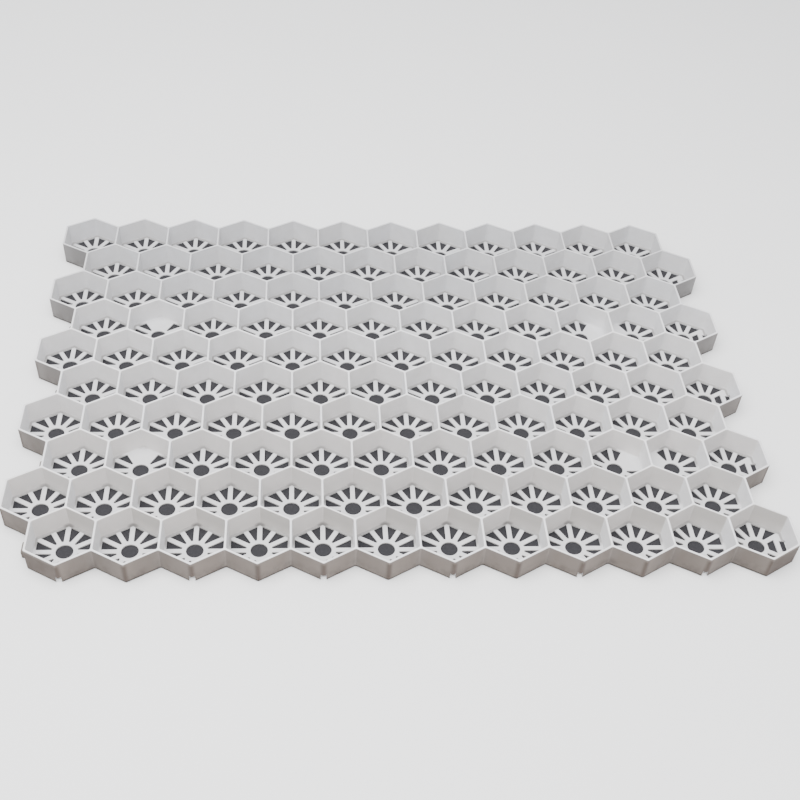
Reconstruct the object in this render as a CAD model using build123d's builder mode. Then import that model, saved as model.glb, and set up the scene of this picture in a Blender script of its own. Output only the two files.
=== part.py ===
from build123d import *
import math
import os

os.makedirs("parts", exist_ok=True)

# Grass reinforcement grid panel, one white plastic moulding, millimetres
# X runs along the twelve cells, Y to the back, Z up; the origin is the middle of the underside.

# lattice of hexagonal cells with points to the front and back
pitch = 93.3              # centre to centre along a row
columns = 12
rows = 10
height = 40.0             # rim above the underside
wall = 3.6                # cell wall
outer_round = 3.0         # upright edges of the outside
inner_round = 4.0         # upright corners inside the cells

# perforated floor of every cell
floor_plate = 2.2
hub_bore = 12.8           # radius of the round hole in the middle
hub_ring = 19.2           # outer radius of the ring that the spokes start from
spokes = 12               # in each floor
spoke = 7.3               # width of a spoke
floor_border = 5.0        # from the lattice line to the outer ends of the wedge holes
gate_pad = 35.0           # radius of the solid floor around each of the four moulding gates

# keeper bar in the floor of the right hand cells, which holds the next panel's hook
keeper_bar = 7.5
keeper_slot = 7.25        # from the wall to the bar

# slot in the floor behind the notch under a front point
notch_slot = 4.9

# hooks on the left side and in the back corners
hook_width = 18.4
back_hook_width = 7.4
tongue = 4.6              # thickness of both hooks at floor level
hook_height = 14.0
back_hook_height = 10.0
lead_in = 1.6             # chamfer at the top of a hook
toe_relief = 1.0          # chamfer at its foot
side_play = 0.6           # between a back hook and its notch, on each side
hook_play = 1.0           # between a left hook and its window, on each side and above
seat_play = 0.3           # between a lip and what it hooks behind
root = 1.0                # how far a tongue runs into its wall

row_pitch = pitch * math.sqrt(3) / 2
lattice_radius = pitch / math.sqrt(3)
corner_wall = wall / math.sqrt(3)     # half the wall, measured through a corner
hole_apothem = pitch / 2 - floor_border
step = 360 / spokes                   # degrees from spoke to spoke
bar_outer = pitch / 2 - wall / 2 - keeper_slot
bar_inner = bar_outer - keeper_bar
window_width = hook_width + 2 * hook_play
window_height = tongue + hook_play
window_depth = 3 * wall               # cuts well past both faces of the wall
notch_width = back_hook_width + 2 * side_play
hook_reach = wall + keeper_slot - seat_play
notch_cut = wall + corner_wall + notch_slot
back_hook_reach = 2 * corner_wall + notch_slot - seat_play


def centre(row, column):
    """Middle of a cell; even rows are shifted half a pitch to the right."""
    shift = pitch / 2 if row % 2 == 0 else 0
    x = column * pitch + shift - (columns - 0.5) * pitch / 2
    return x, (row - (rows - 1) / 2) * row_pitch


def polar(radius, degrees, at=(0, 0)):
    angle = math.radians(degrees)
    return at[0] + radius * math.cos(angle), at[1] + radius * math.sin(angle)


cells = [(row, column) for row in range(rows) for column in range(columns)]
even_rows = range(0, rows, 2)
locked_columns = range(0, columns, 2)
# the gates sit on wall junctions, each named by a cell and the direction of its corner
gates = [polar(lattice_radius, angle, centre(row, column))
         for row, column, angle in ((2, 1, 90), (2, 9, 30), (6, 1, 90), (6, 9, 30))]


def on_spoke(degrees, side, reach):
    """Point on one long edge of a spoke; reach gives its distance out for that edge's offset."""
    angle = math.radians(degrees)
    offset_by = side * spoke / 2
    along = reach(offset_by)
    return (along * math.cos(angle) - offset_by * math.sin(angle),
            along * math.sin(angle) + offset_by * math.cos(angle))


def to_ring(offset_by):
    return math.sqrt(hub_ring ** 2 - offset_by ** 2)


def to_line(apothem, turn):
    """Distance along a spoke to a straight line that faces turn degrees away from it."""
    angle = math.radians(turn)
    return lambda offset_by: (apothem + offset_by * math.sin(angle)) / math.cos(angle)


def hole_between(first, second, facing, apothem):
    """Corners of the hole between two spokes, from the ring out to a straight line."""
    return [
        on_spoke(first, 1, to_ring),
        on_spoke(first, 1, to_line(apothem, first - facing)),
        on_spoke(second, -1, to_line(apothem, second - facing)),
        on_spoke(second, -1, to_ring),
    ]


# one wedge between each two spokes; it ends on the nearest side of the cell
wedges = [hole_between(step * i, step * (i + 1), 60 * round(step * (i + 0.5) / 60), hole_apothem)
          for i in range(spokes)]
# beside a keeper bar one wide hole takes the place of the first and last wedge
keeper_wedges = wedges[1:-1] + [hole_between(-step, step, 0, bar_inner)]


def clear_of_gates(corners, at):
    """True when a hole's middle lies outside the solid floor round the gates."""
    x = at[0] + sum(corner[0] for corner in corners) / len(corners)
    y = at[1] + sum(corner[1] for corner in corners) / len(corners)
    return all(math.hypot(x - gate[0], y - gate[1]) > gate_pad for gate in gates)


def floor_holes(row, column):
    """The round hole and the wedges of one cell's floor."""
    at = centre(row, column)
    found = [Wire.make_circle(hub_bore).moved(Location((at[0], at[1], 0)))]
    pattern = keeper_wedges if column == columns - 1 and row in even_rows else wedges
    for corners in pattern:
        if clear_of_gates(corners, at):
            found.append(Wire.make_polygon([(at[0] + x, at[1] + y) for x, y in corners]))
    return found


def lattice_outline():
    """Corners of the panel's edge, chained from the cell sides that only one cell has."""
    sides = set()
    for cell in cells:
        ring = [tuple(round(v, 3) for v in polar(lattice_radius, 30 + 60 * k, centre(*cell))) for k in range(6)]
        for start, end in zip(ring, ring[1:] + ring[:1]):
            if (end, start) in sides:
                sides.remove((end, start))
            else:
                sides.add((start, end))
    following = dict(sides)
    chain = [min(following)]
    while following[chain[-1]] != chain[0]:
        chain.append(following[chain[-1]])
    return chain


def hook_profile(wall_face, outward, reach, lip, top):
    """Side view of a hook: a tongue out of the wall and an upturned lip at its end."""
    tip = wall_face + outward * reach
    inside = tip - outward * lip
    buried = wall_face - outward * root
    return [
        (buried, 0), (tip - outward * toe_relief, 0), (tip, toe_relief), (tip, top - lead_in),
        (tip - outward * lead_in, top), (inside, top), (inside, tongue), (buried, tongue),
    ]


left_face = centre(0, 0)[0] - pitch / 2 - wall / 2
right_line = centre(0, columns - 1)[0] + pitch / 2
front_line = centre(0, 0)[1] - lattice_radius
back_corner = centre(rows - 1, 0)[1] + lattice_radius / 2 + corner_wall
windows = [(right_line + wall, centre(row, 0)[1]) for row in even_rows]
notches = [(centre(0, column)[0], front_line - wall) for column in locked_columns]

with BuildSketch() as edge:
    with BuildLine():
        Polyline(*lattice_outline(), close=True)
    make_face()
    offset(amount=wall / 2, kind=Kind.INTERSECTION)
    fillet(edge.vertices(), radius=outer_round)

with BuildSketch() as cell_inside:
    RegularPolygon(radius=lattice_radius - corner_wall, side_count=6, rotation=30)
    fillet(cell_inside.vertices(), radius=inner_round)

# each floor runs into the walls round it, up to half their thickness
with BuildSketch() as floor_tile:
    RegularPolygon(radius=lattice_radius - corner_wall / 2, side_count=6, rotation=30)


def cell_floor(cell):
    """Perforated floor of one cell."""
    border = floor_tile.face().outer_wire().moved(Location((*centre(*cell), 0)))
    return Face(border, floor_holes(*cell))


slotted = [(row, columns - 1) for row in even_rows] + [(0, column) for column in locked_columns]
with BuildSketch() as plain_floors:
    add([cell_floor(cell) for cell in cells if cell not in slotted], clean=False)
# these floors also have the slots that the next panels' hooks rise through
with BuildSketch() as slotted_floors:
    add([cell_floor(cell) for cell in slotted], clean=False)
    with Locations(*windows):
        Rectangle(wall + pitch / 2 - bar_outer, window_width, align=(Align.MAX, Align.CENTER), mode=Mode.SUBTRACT)
    with Locations(*notches):
        Rectangle(notch_width, notch_cut, align=(Align.CENTER, Align.MIN), mode=Mode.SUBTRACT)

with BuildSketch(Plane.XZ) as left_hook:
    with BuildLine():
        Polyline(*hook_profile(left_face, -1, hook_reach, keeper_slot - 2 * seat_play, hook_height), close=True)
    make_face()
with BuildSketch(Plane.YZ) as back_hook:
    with BuildLine():
        Polyline(*hook_profile(back_corner, 1, back_hook_reach, notch_slot - 2 * seat_play, back_hook_height),
                 close=True)
    make_face()

with BuildPart() as cell_grid:
    # honeycomb of upright walls
    inside = cell_inside.face().outer_wire()
    extrude(Face(edge.face().outer_wire(), [inside.moved(Location((*centre(*cell), 0))) for cell in cells]),
            amount=height)

    # windows in the right hand walls and notches in the front points
    with BuildSketch(Plane.XY):
        with Locations(*windows):
            Rectangle(window_depth, window_width, align=(Align.MAX, Align.CENTER))
        with Locations(*notches):
            Rectangle(notch_width, notch_cut, align=(Align.CENTER, Align.MIN))
    extrude(amount=window_height, mode=Mode.SUBTRACT)

    # hooks on the recessed cells at the left and in the back corners
    hooks = [left_hook.sketch.face().moved(Location((0, centre(row, 0)[1], 0))) for row in even_rows]
    extrude(hooks, amount=hook_width / 2, both=True)
    back_hooks = [back_hook.sketch.face().moved(Location((centre(rows - 1, column)[0] + pitch / 2, 0, 0)))
                  for column in locked_columns]
    extrude(back_hooks, amount=back_hook_width / 2, both=True)

    # floors
    extrude(plain_floors.sketch.faces() + slotted_floors.sketch.faces(), amount=floor_plate)

cell_grid.part.label = "cell_grid"
export_step(cell_grid.part, "parts/cell_grid.step", write_pcurves=False)
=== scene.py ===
# Grass reinforcement grid: one white moulded plastic panel of twelve by ten hexagonal cells.
# Lengths are in millimetres until a mesh is made, and in metres for the lamp and the camera; the
# origin is the middle of the underside.
import math
from functools import partial

import bmesh
import bpy
from mathutils import Matrix, Vector, geometry


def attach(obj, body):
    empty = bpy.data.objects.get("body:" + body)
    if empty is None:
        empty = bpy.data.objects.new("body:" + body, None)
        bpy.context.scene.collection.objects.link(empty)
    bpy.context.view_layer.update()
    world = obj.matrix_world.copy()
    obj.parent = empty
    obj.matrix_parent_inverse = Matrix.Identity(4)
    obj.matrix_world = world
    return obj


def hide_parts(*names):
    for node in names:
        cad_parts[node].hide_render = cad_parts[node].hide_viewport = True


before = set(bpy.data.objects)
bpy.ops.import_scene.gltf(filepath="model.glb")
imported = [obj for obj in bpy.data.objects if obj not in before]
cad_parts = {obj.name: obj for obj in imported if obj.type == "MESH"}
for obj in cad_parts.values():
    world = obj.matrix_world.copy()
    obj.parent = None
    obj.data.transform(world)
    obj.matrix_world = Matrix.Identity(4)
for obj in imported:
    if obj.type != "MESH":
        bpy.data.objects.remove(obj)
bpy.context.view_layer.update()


# Honeycomb moulding
# One injection moulding in white plastic: upright walls with softly rounded rims, and in every cell
# a thin floor pierced by a round hole and a wheel of wedges. Round four wall junctions, where the
# plastic came in, wedges are left out.
pitch = 93.3              # centre to centre along a row
columns = 12
rows = 10
height = 40.0
half_wall = 1.8
half_wall_top = 1.65      # the walls thin a little upwards so that they leave the mould
rim_round = 1.2
cell_round = 4.0          # upright corners inside the cells
edge_round = 3.0          # upright edges of the outside
bottom_edge = 0.4         # broken edge round the outside of the foot
foot_round = 2.4          # where a wall meets the floor
floor_top = 2.2
floor_border = 5.0        # from the middle of a wall to the outer ends of the wedges
hub_hole = 12.8
hub_points = 28
hub_ring = 19.2           # outer radius of the ring that the spokes start from
spokes = 12
spoke = 7.3               # width of a spoke
hole_edge = 0.25          # broken edge round each hole
wedge_round = 0.6
gate_pad = 35.0           # radius of the solid floor round each gate
keeper_slot = 7.25        # right hand cells: from the wall to the bar that the next panel's hook grips
keeper_bar = 7.5
junction = 3.35           # half the width of a wall junction along a cell side

row_pitch = pitch * math.sqrt(3) / 2
lattice_radius = pitch / math.sqrt(3)
step = 360 / spokes       # degrees from spoke to spoke
wedge_apothem = pitch / 2 - floor_border
bar_outer = pitch / 2 - half_wall - keeper_slot
bar_inner = bar_outer - keeper_bar


def cell_centre(row, column):
    """Middle of a cell; even rows are shifted half a pitch to the right."""
    shift = pitch / 2 if row % 2 == 0 else 0
    return Vector((column * pitch + shift - (columns - 0.5) * pitch / 2, (row - (rows - 1) / 2) * row_pitch))


def polar(radius, degrees):
    angle = math.radians(degrees)
    return Vector((radius * math.cos(angle), radius * math.sin(angle)))


def outward(direction):
    """A quarter turn to the right of a direction, so outwards on an anticlockwise outline."""
    return Vector((direction.y, -direction.x))


def on_spoke(degrees, side, reach):
    return polar(reach, degrees) + polar(side * spoke / 2, degrees + 90)


def wedge_between(first, second, facing, apothem):
    """Corners of the hole between two spokes, from the ring out to a straight line."""
    near = math.sqrt(hub_ring ** 2 - spoke ** 2 / 4)
    corners = []
    for degrees, side in ((first, 1), (second, -1)):
        turn = math.radians(degrees - facing)
        far = (apothem + side * spoke / 2 * math.sin(turn)) / math.cos(turn)
        corners.append((on_spoke(degrees, side, near), on_spoke(degrees, side, far)))
    return [corners[0][0], corners[0][1], corners[1][1], corners[1][0]]


def softened(corners, grow):
    """Outline of a wedge with rounded corners, moved out by grow; the narrow end gets fewer points."""
    outline = []
    for i, corner in enumerate(corners):
        out_before = outward((corner - corners[i - 1]).normalized())
        out_after = outward((corners[(i + 1) % len(corners)] - corner).normalized())
        middle = corner - (out_before + out_after) * wedge_round / (1 + out_before.dot(out_after))
        turn = out_before.angle_signed(out_after)
        points = 3 if i in (1, 2) else 2
        for k in range(points):
            direction = Matrix.Rotation(-turn * k / (points - 1), 2) @ out_before
            outline.append(middle + direction * (wedge_round + grow))
    return outline


def hub_circle(grow):
    return [polar(hub_hole + grow, 360 / hub_points * k) for k in range(hub_points)]


# one wedge between each two spokes; it ends on the nearest side of the cell
wedges = [wedge_between(step * i, step * (i + 1), 60 * round(step * (i + 0.5) / 60), wedge_apothem)
          for i in range(spokes)]
# beside a keeper bar one wide hole takes the place of the first and last wedge
keeper_wedges = wedges[1:-1] + [wedge_between(-step, step, 0, bar_inner)]
# the gates sit on wall junctions, each named by a cell and the direction of its corner
gates = [cell_centre(row, column) + polar(lattice_radius, angle)
         for row, column, angle in ((2, 1, 90), (2, 9, 30), (6, 1, 90), (6, 9, 30))]


def cell_ring(distance):
    """Hexagon inside a cell, at a distance from the middle of its walls, five points at each corner."""
    radius = cell_round + half_wall - distance
    reach = (pitch / 2 - half_wall - cell_round) / math.cos(math.radians(30))
    return [polar(reach, 30 + 60 * corner) + polar(radius, 30 + 60 * corner + 15 * k)
            for corner in range(6) for k in range(-2, 3)]


# distance from the middle of the wall, and height: a rim's rounding and the rounding at the foot
quarter_turn = [math.radians(degrees) for degrees in (0, 30, 60, 90)]
rim_rows = [(half_wall_top - rim_round * (1 - math.sin(a)), height - rim_round * (1 - math.cos(a)))
            for a in quarter_turn]
foot_rows = [(half_wall + foot_round * (1 - math.cos(a)), floor_top + foot_round * (1 - math.sin(a)))
             for a in quarter_turn]


class Shell:
    """Points and faces of one stretch of the moulding."""

    def __init__(self):
        self.points = []
        self.faces = []

    def row(self, outline, z):
        start = len(self.points)
        self.points += [(p.x, p.y, z) for p in outline]
        return list(range(start, len(self.points)))

    def skirt(self, upper, lower):
        """Quads between two closed rows, facing the side that the rows turn round."""
        for i, j in zip(range(len(upper)), [*range(1, len(upper)), 0]):
            self.faces.append((upper[i], upper[j], lower[j], lower[i]))

    def sheet(self, border, holes, up):
        """Flat face with holes; what the triangles put into a hole is left out."""
        loops = [border, *holes]
        used = [p for loop in loops for p in loop]
        owner = [i for i, loop in enumerate(loops) for p in loop]
        edges = []
        start = 0
        for loop in loops:
            edges += [(start + i, start + (i + 1) % len(loop)) for i in range(len(loop))]
            start += len(loop)
        flat = [Vector(self.points[p][:2]) for p in used]
        within_border = 1
        closeness = 1e-5
        found = geometry.delaunay_2d_cdt(flat, edges, [], within_border, closeness)
        triangles, sources = found[2], found[3]
        for triangle in triangles:
            triangle = [sources[v][0] for v in triangle]
            inside = {owner[v] for v in triangle}
            if len(inside) > 1 or inside == {0}:
                face = [used[v] for v in triangle]
                self.faces.append(tuple(face if up else reversed(face)))


def cell_shell(pattern):
    """One cell from the middle line of its walls inwards."""
    shell = Shell()
    hexagon = []
    for corner in range(6):
        facing = 30 + 60 * corner
        tip = polar(lattice_radius, facing)
        hexagon += [tip + polar(junction, facing - 120), tip, tip + polar(junction, facing + 120)]
    crest = shell.row(hexagon, height)
    levels = [shell.row(cell_ring(distance), z) for distance, z in rim_rows + foot_rows]
    rim = levels[0]
    for corner in range(6):
        near, tip, far = crest[3 * corner:3 * corner + 3]
        arc = rim[5 * corner:5 * corner + 5]
        shell.faces.append((near, tip, arc[2], arc[1], arc[0]))
        shell.faces.append((tip, far, arc[4], arc[3], arc[2]))
        coming = (crest[(3 * corner + 3) % len(crest)], rim[(5 * corner + 5) % len(rim)])
        shell.faces.append((far, *coming, arc[4]))
    for upper, lower in zip(levels, levels[1:]):
        shell.skirt(upper, lower)
    outlines = [hub_circle] + [partial(softened, wedge) for wedge in pattern]
    top = [shell.row(outline(hole_edge), floor_top) for outline in outlines]
    throat = [shell.row(outline(0), floor_top - hole_edge) for outline in outlines]
    foot = [shell.row(outline(0), 0) for outline in outlines]
    for rows_down in zip(top, throat, foot):
        for upper, lower in zip(rows_down, rows_down[1:]):
            shell.skirt(upper, lower)
    shell.sheet(levels[-1], top, True)
    shell.sheet(shell.row(hexagon, 0), foot, False)
    return shell


def is_open(corners, at):
    """True when a wedge's middle lies outside the solid floor round the gates."""
    middle = at + sum(corners, Vector((0, 0))) / len(corners)
    return all((middle - gate).length > gate_pad for gate in gates)


cells = [(row, column) for row in range(rows) for column in range(columns)]
moulding = Shell()
known = {}                # cells with the same wedges share one shell
for row, column in cells:
    at = cell_centre(row, column)
    keeper = column == columns - 1 and row % 2 == 0
    pattern = [wedge for wedge in (keeper_wedges if keeper else wedges) if is_open(wedge, at)]
    kind = (keeper, tuple((round(wedge[0].x, 2), round(wedge[0].y, 2)) for wedge in pattern))
    if kind not in known:
        known[kind] = cell_shell(pattern)
    first = len(moulding.points)
    moulding.points += [(x + at.x, y + at.y, z) for x, y, z in known[kind].points]
    moulding.faces += [tuple(first + v for v in face) for face in known[kind].faces]

# the panel's edge: the cell sides that only one cell has, chained into one outline
sides = set()
for cell in cells:
    ring = [cell_centre(*cell) + polar(lattice_radius, 30 + 60 * k) for k in range(6)]
    ring = [(round(p.x, 3), round(p.y, 3)) for p in ring]
    for start, end in zip(ring, ring[1:] + ring[:1]):
        if (end, start) in sides:
            sides.remove((end, start))
        else:
            sides.add((start, end))
following = dict(sides)
chain = [min(following)]
while following[chain[-1]] != chain[0]:
    chain.append(following[chain[-1]])
chain = [Vector(p) for p in chain]
# each corner with the directions of the sides before and after it
bends = [(corner, (corner - last).normalized(), (coming - corner).normalized())
         for last, corner, coming in zip(chain[-1:] + chain[:-1], chain, chain[1:] + chain[:1])]


def edge_ring(distance):
    """The panel's outline moved out from the middle of its edge walls, five points at each corner."""
    outline = []
    for corner, before, after in bends:
        sticks_out = before.cross(after) > 0
        depth = half_wall - edge_round if sticks_out else half_wall + edge_round
        bisector = (outward(before) + outward(after)).normalized()
        middle = corner + bisector * depth / math.cos(math.radians(30))
        turn = math.radians(60 if sticks_out else -60)
        for k in range(5):
            direction = Matrix.Rotation(turn * k / 4, 2) @ outward(before)
            outline.append(middle + direction * (distance - depth))
    return outline


# the outer half of the edge walls
crest_line = []
for corner, before, after in bends:
    crest_line += [corner - before * junction, corner, corner + after * junction]
edge_rows = rim_rows + [(half_wall, bottom_edge), (half_wall - bottom_edge, 0)]
levels = [moulding.row(edge_ring(distance), z) for distance, z in edge_rows]
for upper, lower in zip(levels, levels[1:]):
    moulding.skirt(list(reversed(upper)), list(reversed(lower)))
for ring, z, up in ((levels[0], height, True), (levels[-1], 0, False)):
    line = moulding.row(crest_line, z)
    for i in range(len(chain)):
        near, tip, far = line[3 * i:3 * i + 3]
        arc = ring[5 * i:5 * i + 5]
        coming = (ring[(5 * i + 5) % len(ring)], line[(3 * i + 3) % len(line)])
        for face in ((arc[0], arc[1], arc[2], tip, near), (arc[2], arc[3], arc[4], far, tip),
                     (arc[4], *coming, far)):
            moulding.faces.append(face if up else tuple(reversed(face)))


def solid_object(name, points, faces):
    """Mesh object in metres; points within a hundredth of a millimetre are welded."""
    mesh = bpy.data.meshes.new(name)
    mesh.from_pydata([Vector(p) * 0.001 for p in points], [], faces)
    work = bmesh.new()
    work.from_mesh(mesh)
    bmesh.ops.remove_doubles(work, verts=work.verts, dist=0.00001)
    work.to_mesh(mesh)
    work.free()
    thing = bpy.data.objects.new(name, mesh)
    bpy.context.scene.collection.objects.link(thing)
    return thing


grid = solid_object("cell_grid_moulding", moulding.points, moulding.faces)


# Hooks and their openings
# Moulded in one with the walls: five wide hooks on the left and six narrow ones in the back corners,
# each a tongue at floor level with an upturned lip. Windows in the right hand walls and notches
# under every other front point, with slots in the floor behind, take the hooks of the next panels.
hook_width = 18.4
hook_height = 14.0
back_hook_width = 7.4
back_hook_height = 10.0
tongue = 4.6              # thickness of both hooks at floor level
lead_in = 1.6             # chamfer at the top of a hook
toe_relief = 1.0          # chamfer at its foot
root = 1.0                # how far a tongue runs into its wall
hook_soft = 0.5           # rounding of all edges of a hook
notch_slot = 4.9          # slot in the floor behind a notch
notch_height = 11.0       # as in the photograph; the CAD solid's notches are lower
hook_play = 1.0           # between a left hook and its window, on each side and above
side_play = 0.6           # between a back hook and its notch, on each side
seat_play = 0.3           # between a lip and what it hooks behind
overcut = 1.0             # how far the openings are cut past the underside

corner_wall = 2 * half_wall / math.sqrt(3)     # half the wall, measured through a corner
window_half = hook_width / 2 + hook_play
window_height = tongue + hook_play
notch_half = back_hook_width / 2 + side_play
# lengths that run through a corner of the wall are rounded
notch_depth = round(2 * half_wall + corner_wall + notch_slot, 2)
hook_reach = 2 * half_wall + keeper_slot - seat_play
back_hook_reach = round(2 * corner_wall + notch_slot - seat_play, 3)
right_line = cell_centre(0, columns - 1).x + pitch / 2
front_line = cell_centre(0, 0).y - lattice_radius
left_face = cell_centre(0, 0).x - pitch / 2 - half_wall
back_corner = cell_centre(rows - 1, 0).y + lattice_radius / 2 + corner_wall


def block(low, high):
    """Corner points and faces of a straight block."""
    points = [(x, y, z) for z in (low[2], high[2]) for x, y in
              ((low[0], low[1]), (high[0], low[1]), (high[0], high[1]), (low[0], high[1]))]
    return points, [(3, 2, 1, 0), (4, 5, 6, 7), (0, 1, 5, 4), (1, 2, 6, 5), (2, 3, 7, 6), (3, 0, 4, 7)]


def window(row):
    """Block that cuts the slot and the window for a left hook."""
    y = cell_centre(row, 0).y
    return block((right_line - pitch / 2 + bar_outer, y - window_half, -overcut),
                 (right_line + 2 * half_wall, y + window_half, window_height))


def notch(column):
    """Block that cuts the notch and the slot for a back hook."""
    x = cell_centre(0, column).x
    front = front_line - 2 * half_wall
    return block((x - notch_half, front, -overcut), (x + notch_half, front + notch_depth, notch_height))


def hook_outline(reach, lip, top):
    """Side view of a hook, as distance out from the wall's face and height."""
    return [(-root, 0), (reach - toe_relief, 0), (reach, toe_relief), (reach, top - lead_in),
            (reach - lead_in, top), (reach - lip, top), (reach - lip, tongue), (-root, tongue)]


def hook(outline, width, foot, pointing):
    """Solid hook on a spot of the wall's face, with the direction it points in."""
    across = Vector((-pointing.y, pointing.x))
    points = []
    for side in (-width / 2, width / 2):
        for out, z in outline:
            spot = foot + pointing * out + across * side
            points.append((spot.x, spot.y, z))
    n = len(outline)
    faces = [tuple(reversed(range(n))), tuple(range(n, 2 * n))]
    faces += [(i, (i + 1) % n, n + (i + 1) % n, n + i) for i in range(n)]
    return points, faces


def joined(parts):
    """Points and faces of several solids as one."""
    points = []
    faces = []
    for part_points, part_faces in parts:
        faces += [tuple(len(points) + v for v in face) for face in part_faces]
        points += part_points
    return points, faces


def settled(thing):
    """The mesh of an object with its modifiers worked in."""
    return bpy.data.meshes.new_from_object(thing.evaluated_get(bpy.context.evaluated_depsgraph_get()))


def combine(thing, other, operation):
    """Cuts another solid out of the moulding or joins it on, and does away with it."""
    change = thing.modifiers.new(operation, "BOOLEAN")
    change.operation = operation
    change.solver = "EXACT"
    change.object = other
    mesh = settled(thing)
    thing.modifiers.clear()
    thing.data = mesh
    bpy.data.objects.remove(other)


even_rows = range(0, rows, 2)
hooked_columns = range(0, columns, 2)
openings = [window(row) for row in even_rows] + [notch(column) for column in hooked_columns]
combine(grid, solid_object("slot_cutters", *joined(openings)), "DIFFERENCE")

left_outline = hook_outline(hook_reach, keeper_slot - 2 * seat_play, hook_height)
back_outline = hook_outline(back_hook_reach, notch_slot - 2 * seat_play, back_hook_height)
hooks = [hook(left_outline, hook_width, Vector((left_face, cell_centre(row, 0).y)), Vector((-1, 0)))
         for row in even_rows]
hooks += [hook(back_outline, back_hook_width,
               Vector((cell_centre(rows - 1, column).x + pitch / 2, back_corner)), Vector((0, 1)))
          for column in hooked_columns]
hook_piece = solid_object("edge_hooks", *joined(hooks))
soften = hook_piece.modifiers.new("soften", "BEVEL")
soften.width = hook_soft * 0.001
soften.segments = 2
hook_piece.data = settled(hook_piece)
hook_piece.modifiers.clear()
combine(grid, hook_piece, "UNION")


# White plastic
# White polypropylene, matt to satin from the mould, with faint glossier flow marks round the gates.
# The outer faces carry a brownish to grey film of dirt with painted shade, darkest down the front
# points and along the foot. Painted shade lies at the foot of the walls, in the back corners of the
# cells, on the floors, on the hole sides and over the back rows; painted light from the floor
# brightens the lower walls, and a warm painted reflection lies on the inner walls facing the front.
sharpest_smooth = 50      # degrees; sharper folds are shaded as edges


def beyond_cells(x, y):
    """How far a point lies outside the hexagons of all the cells."""
    nearest = math.inf
    middle_row = round(y / row_pitch + (rows - 1) / 2)
    for row in range(max(0, middle_row - 1), min(rows, middle_row + 2)):
        start = cell_centre(row, 0)
        column = min(max(round((x - start.x) / pitch), 0), columns - 1)
        across = abs(x - start.x - column * pitch)
        along = abs(y - start.y)
        nearest = min(nearest, max(across, across / 2 + along * math.sqrt(0.75)) - pitch / 2)
    return nearest


# marks for the dirt and the painted shade: the outer faces of the panel's edge, and how near they are to a
# corner that sticks out
outside_mark = grid.data.attributes.new("outside", "FLOAT", "POINT")
tip_mark = grid.data.attributes.new("tip", "FLOAT", "POINT")
tips = [corner for corner, before, after in bends if before.cross(after) > 0]
for i, vertex in enumerate(grid.data.vertices):
    spot = vertex.co.to_2d() * 1000
    if beyond_cells(*spot) > half_wall / 4:
        outside_mark.data[i].value = 1.0
        tip_mark.data[i].value = max(0.0, 1 - min((spot - tip).length for tip in tips) / lattice_radius)

grid.data.shade_smooth()
grid.data.set_sharp_from_angle(angle=math.radians(sharpest_smooth))
weigh = grid.modifiers.new("even shading", "WEIGHTED_NORMAL")
weigh.keep_sharp = True
weigh.weight = 100


class Value:
    """A shader socket; arithmetic on it adds Math nodes."""

    def __init__(self, finish, socket):
        self.finish = finish
        self.socket = socket

    def maths(self, operation, *terms):
        return self.finish.node("Math", {"operation": operation}, dict(enumerate(terms)))

    def __add__(self, other):
        return self.maths("ADD", self, other)

    def __radd__(self, other):
        return self.maths("ADD", other, self)

    def __sub__(self, other):
        return self.maths("SUBTRACT", self, other)

    def __rsub__(self, other):
        return self.maths("SUBTRACT", other, self)

    def __mul__(self, other):
        return self.maths("MULTIPLY", self, other)

    def __rmul__(self, other):
        return self.maths("MULTIPLY", other, self)

    def __truediv__(self, other):
        return self.maths("DIVIDE", self, other)

    def __abs__(self):
        return self.maths("ABSOLUTE", self)

    def __lt__(self, other):
        return self.maths("LESS_THAN", self, other)

    def least(self, other):
        return self.maths("MINIMUM", self, other)

    def most(self, other):
        return self.maths("MAXIMUM", self, other)

    def root(self):
        return self.maths("SQRT", self)

    def wrapped(self, span):
        return self.maths("WRAP", self, span / 2, -span / 2)

    def fade(self, full, none):
        """1 at full and beyond it, easing to 0 at none; either of the two may be the larger."""
        return self.finish.node("MapRange", {"interpolation_type": "SMOOTHSTEP"},
                                {"Value": self, "From Min": full, "From Max": none, "To Min": 1, "To Max": 0})


class Finish:
    """A material and the nodes that are laid in it."""

    def __init__(self, name):
        self.material = bpy.data.materials.new(name)
        self.material.use_nodes = True
        self.material.node_tree.nodes.clear()

    def node(self, kind, settings, sockets, output=0):
        """Adds a node: its settings first, then the values or links of its sockets."""
        made = self.material.node_tree.nodes.new("ShaderNode" + kind)
        for name, value in settings.items():
            setattr(made, name, value)
        for name, value in sockets.items():
            if isinstance(value, Value):
                self.material.node_tree.links.new(value.socket, made.inputs[name])
            else:
                made.inputs[name].default_value = value
        return Value(self, made.outputs[output]) if len(made.outputs) else made

    def place(self):
        """Position on the object in millimetres."""
        coordinates = self.node("TexCoord", {}, {}, "Object")
        return self.node("VectorMath", {"operation": "SCALE"}, {0: coordinates, "Scale": 1000.0})

    def axes(self, vector):
        """The three coordinates of a vector."""
        return [self.node("SeparateXYZ", {}, {0: vector}, axis) for axis in "XYZ"]

    def noise(self, place, size, detail=3.0, roughness=0.5, stretch=(1, 1, 1)):
        """Cloudy values about 0.5 with blotches of the given size in millimetres."""
        scale = [share / size for share in stretch]
        scaled = self.node("VectorMath", {"operation": "MULTIPLY"}, {0: place, 1: scale})
        return self.node("TexNoise", {},
                         {"Vector": scaled, "Scale": 1.0, "Detail": detail, "Roughness": roughness})

    def blend(self, factor, first, second):
        """Colour mixed by a factor from 0 to 1."""
        return self.node("Mix", {"data_type": "RGBA"}, {0: factor, 6: first, 7: second}, 2)


def rgb(red, green, blue):
    return (red, green, blue, 1.0)


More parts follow.
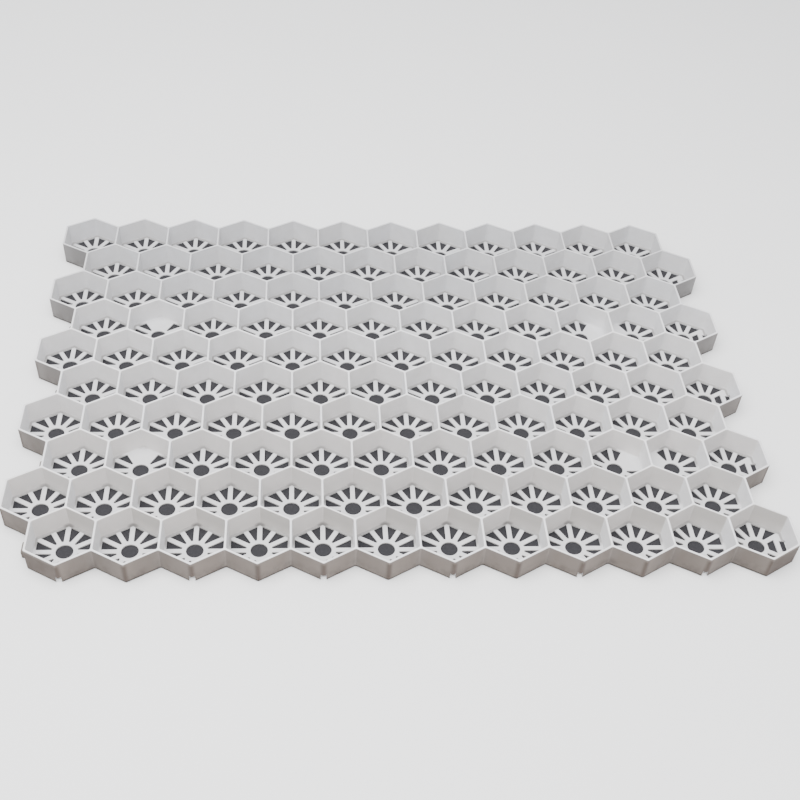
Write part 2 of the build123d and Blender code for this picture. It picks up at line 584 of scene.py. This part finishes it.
plastic = Finish("white_plastic_moulded")
place = plastic.place()
x, y, z = plastic.axes(place)
facing_x, facing_y, facing_up = plastic.axes(plastic.node("NewGeometry", {}, {}, "Normal"))
outside = plastic.node("Attribute", {"attribute_name": "outside"}, {}, "Fac")
tip = plastic.node("Attribute", {"attribute_name": "tip"}, {}, "Fac")

# where a point lies in its cell: the nearer middle of the two straight lattices that make up the rows
even = cell_centre(0, 0)
odd = cell_centre(1, 0)
even_x = (x - even.x).wrapped(pitch)
even_y = (y - even.y).wrapped(2 * row_pitch)
odd_x = (x - odd.x).wrapped(pitch)
odd_y = (y - odd.y).wrapped(2 * row_pitch)
in_even = (even_x * even_x + even_y * even_y) < (odd_x * odd_x + odd_y * odd_y)
across = abs(even_x * in_even + odd_x * (1 - in_even))
backward = even_y * in_even + odd_y * (1 - in_even)
from_wall = pitch / 2 - across.most(across / 2 + abs(backward) * math.sqrt(0.75))


def distance(dx, dy):
    return (dx * dx + dy * dy).root()


from_back_corner = distance(across, backward - lattice_radius)
near_gate = distance(x - gates[0].x, y - gates[0].y)
for gate in gates[1:]:
    near_gate = near_gate.least(distance(x - gate.x, y - gate.y))

clouds = plastic.noise(place, 85.0, 2.0)
smudge = plastic.noise(place, 34.0, 3.0, 0.55)
mottle = plastic.noise(place, 14.0, 4.0, 0.6)
grain = plastic.noise(place, 1.1, 3.0, 0.6)
drag = plastic.noise(place, 5.0, 3.0, 0.55, (1.0, 1.0, 0.12))

# masks from 0 to 1, faded over millimetres, over parts of the normal or over the marks
inside = 1 - outside
on_floor = z.fade(2.4, 5.0)
upright = 1 - facing_up.fade(0.1, 0.9)
facing_left = facing_x.fade(-0.45, 0.0)
facing_front = facing_y.fade(-0.8, -0.2)
# painted shade: the back rows painted greyer, their rims most
back_row_shade = 1 - y.fade(60.0, 330.0)
rim_share = 0.5 - 0.24 * z.fade(36.0, 39.5)
below_rim = z.fade(38.2, 39.9)
ends = 1 - abs(x).fade(250.0, 420.0)
far_half = 1 - backward.fade(0.0, 14.0)
flow = near_gate.fade(14.0, 44.0) * on_floor
off_gates = 1 - near_gate.fade(30.0, 44.0)
# painted light: the lower walls inside the cells painted lighter, as if lit from the floor
floor_bounce_light = inside * z.fade(6.0, 36.0) * from_wall.fade(8.0, 30.0)
# painted warm reflected light on the inner walls that face the front, strongest in the front rows
warm_reflection = inside * facing_front * y.fade(-480.0, 330.0)
shaded = facing_left * facing_front * inside * y.fade(-420.0, -100.0) * (1 - 0.45 * z.fade(4.0, 26.0))
# outer faces: a dirt film with painted shade in it; the faces turned to the left and the outer faces of the
# end columns get more
film_and_shade = outside * below_rim * (0.95 - 0.06 * tip.fade(0.0, 0.3))
left_film_and_shade = outside * facing_left * below_rim
end_film_and_shade = outside * ends * tip.fade(0.5, 0.95) * below_rim
# outer faces darker in blotches, more towards the bottom
low_blotches = outside * z.fade(0.0, 24.0) * mottle.fade(0.75, 0.35)
tip_dirt = tip.fade(0.985, 0.86) * z.fade(32.0, 39.0) * y.fade(-250.0, 300.0)
# outer faces darkened to a thin dark line along the foot
foot_edge_dark = outside * z.fade(1.1, 3.4)
# painted shade on the floor at the foot of the walls in the back half of each cell
foot_shade = from_wall.fade(4.6, 6.4) * z.fade(2.8, 6.0) * upright * far_half * inside * off_gates
# painted shade at the foot of the back corners of the cells, fading towards the back and the right; roughness
# is raised there too
corner_shade = (from_back_corner.fade(7.0, 13.0) * from_wall.fade(3.9, 6.4) * z.fade(2.8, 8.0) * inside
               * (0.1 + 0.9 * y.fade(-400.0, -60.0)) * (0.15 + 0.85 * x.fade(230.0, 400.0)))
# painted shade on the sides of the holes in the floors
hole_side_shade = facing_up.fade(0.3, 0.75) * z.fade(1.7, 2.2) * inside * (1 - from_wall.fade(2.5, 3.5))

warm_white = rgb(0.795, 0.786, 0.793)
cool_white = rgb(0.780, 0.783, 0.806)
shade_grey = rgb(0.36, 0.36, 0.37)
film_and_shade_grey = rgb(0.195, 0.190, 0.190)
film_and_shade_brown = rgb(0.138, 0.108, 0.088)
# each mask with the colour that it lays over those before it
layers = [
    (mottle.fade(0.75, 0.35) * 0.35, rgb(0.67, 0.66, 0.65)),
    (flow * 0.4, rgb(0.78, 0.785, 0.81)),
    (floor_bounce_light * 0.5, rgb(0.83, 0.83, 0.85)),
    (warm_reflection * 0.8, rgb(0.70, 0.645, 0.60)),
    (smudge.fade(0.42, 0.66) * 0.22, rgb(0.60, 0.585, 0.57)),
    # painted shade: the floors and the foot of the walls painted darker
    (on_floor * 0.42, shade_grey),
    (back_row_shade * rim_share, shade_grey),
    (shaded * 0.8, rgb(0.36, 0.345, 0.32)),
    (film_and_shade, plastic.blend(y.fade(-350.0, 330.0), film_and_shade_grey, film_and_shade_brown)),
    (end_film_and_shade * 0.2, rgb(0.04, 0.031, 0.025)),
    (low_blotches * 0.55, rgb(0.045, 0.037, 0.031)),
    (tip_dirt * 0.9, rgb(0.06, 0.04, 0.03)),
    (foot_edge_dark * 0.95, rgb(0.02, 0.016, 0.013)),
    (left_film_and_shade * 0.25, rgb(0.04, 0.032, 0.026)),
    (foot_shade * 0.9, rgb(0.24, 0.232, 0.225)),
    (corner_shade * 0.62, rgb(0.05, 0.043, 0.039)),
    (hole_side_shade * 0.3, rgb(0.30, 0.295, 0.29)),
]
colour = plastic.blend(clouds.fade(0.62, 0.38), warm_white, cool_white)
for mask, tone in layers:
    colour = plastic.blend(mask, colour, tone)
roughness = 0.5 + (mottle - 0.5) * 0.22 - flow * 0.12 + film_and_shade * 0.15 + corner_shade * 0.2
relief = grain * 0.012 + drag * 0.02 + mottle * 0.03
bump = plastic.node("Bump", {}, {"Strength": 0.55, "Distance": 0.001, "Height": relief})
skin = plastic.node("BsdfPrincipled", {},
                    {"Base Color": colour, "Roughness": roughness, "Normal": bump, "IOR": 1.49})
plastic.node("OutputMaterial", {}, {"Surface": skin})

grid.data.materials.clear()
grid.data.materials.append(plastic.material)
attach(grid, "root")
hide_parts("cell_grid")


# Floor
# A plain pale floor, and just under the panel a dark sheet that makes its holes as dark as in the
# photograph. Neither is part of the panel.
floor_depth = 1.0
floor_half = 6000.0
sheet_depth = 0.5
bite_half = 5.3           # bites in the sheet, so that the pale floor shows through the notches
bite_depth = 9.8

pale = Finish("pale_floor")
pale_colour = pale.blend(pale.noise(pale.place(), 400.0, 2.0), rgb(0.87, 0.87, 0.87), rgb(0.90, 0.90, 0.90))
pale_skin = pale.node("BsdfPrincipled", {}, {"Base Color": pale_colour, "Roughness": 0.8})
pale.node("OutputMaterial", {}, {"Surface": pale_skin})
floor_points = [(side * floor_half, end * floor_half, -floor_depth)
                for side, end in ((-1, -1), (1, -1), (1, 1), (-1, 1))]
floor = solid_object("pale_floor", floor_points, [(0, 1, 2, 3)])
floor.data.materials.append(pale.material)

ground = Finish("dark_ground")
ground_tone = ground.noise(ground.place(), 3.0, 4.0, 0.7)
ground_colour = ground.blend(ground_tone, rgb(0.008, 0.0078, 0.0095), rgb(0.032, 0.031, 0.036))
ground_skin = ground.node("BsdfPrincipled", {}, {"Base Color": ground_colour, "Roughness": 0.95})
ground.node("OutputMaterial", {}, {"Surface": ground_skin})
notched_tips = [Vector((cell_centre(0, column).x, front_line)) for column in hooked_columns]
side_rise = bite_half / math.sqrt(3)     # how far back the sheet's edge has gone at a bite's side
bite = [Vector((-bite_half, side_rise)), Vector((-bite_half, bite_depth)),
        Vector((bite_half, bite_depth)), Vector((bite_half, side_rise))]
sheet_line = []
for corner in chain:
    notched = min((corner - tip).length for tip in notched_tips) < half_wall
    sheet_line += [corner + point for point in bite] if notched else [corner]
dark = Shell()
dark.sheet(dark.row(sheet_line, -sheet_depth), [], True)
under = solid_object("dark_ground", dark.points, dark.faces)
under.data.materials.append(ground.material)


# Light and camera
# Soft light from a pale sky, with a broad lamp high above the front left corner. The camera stands
# where the photograph was taken from: in front, a little to the left and slightly rolled.
sky = bpy.data.worlds.new("pale_sky")
sky.use_nodes = True
sky.node_tree.nodes["Background"].inputs["Color"].default_value = rgb(0.97, 0.98, 1.0)
sky.node_tree.nodes["Background"].inputs["Strength"].default_value = 1.1
bpy.context.scene.world = sky

lamp_data = bpy.data.lights.new("soft_lamp", "AREA")
lamp_data.energy = 232.0
lamp_data.size = 3.2
lamp = bpy.data.objects.new("soft_lamp", lamp_data)
lamp_place = Vector((-0.5, -0.6, 2.8))
lamp.location = lamp_place
lamp.rotation_euler = (-lamp_place).to_track_quat("-Z", "Y").to_euler()
bpy.context.scene.collection.objects.link(lamp)

heading = math.radians(6.0121)
dip = math.radians(47.9308)
roll = math.radians(4.2131)
look = Vector((math.sin(heading) * math.cos(dip), math.cos(heading) * math.cos(dip), -math.sin(dip)))
# the picture's right and up before the roll
level_right = Vector((math.cos(heading), -math.sin(heading), 0))
level_up = level_right.cross(look)
right = level_right * math.cos(roll) + level_up * math.sin(roll)
up = level_up * math.cos(roll) - level_right * math.sin(roll)
camera_data = bpy.data.cameras.new("photo_camera")
camera_data.sensor_width = 36.0
camera_data.lens = 49.95
camera_data.shift_x = 0.01875
camera_data.shift_y = 0.125
camera_data.clip_end = 50.0
camera = bpy.data.objects.new("photo_camera", camera_data)
camera.matrix_world = Matrix((right, up, -look)).transposed().to_4x4()
camera.location = (-0.13999, -1.39983, 1.26533)
bpy.context.scene.collection.objects.link(camera)
bpy.context.scene.camera = camera
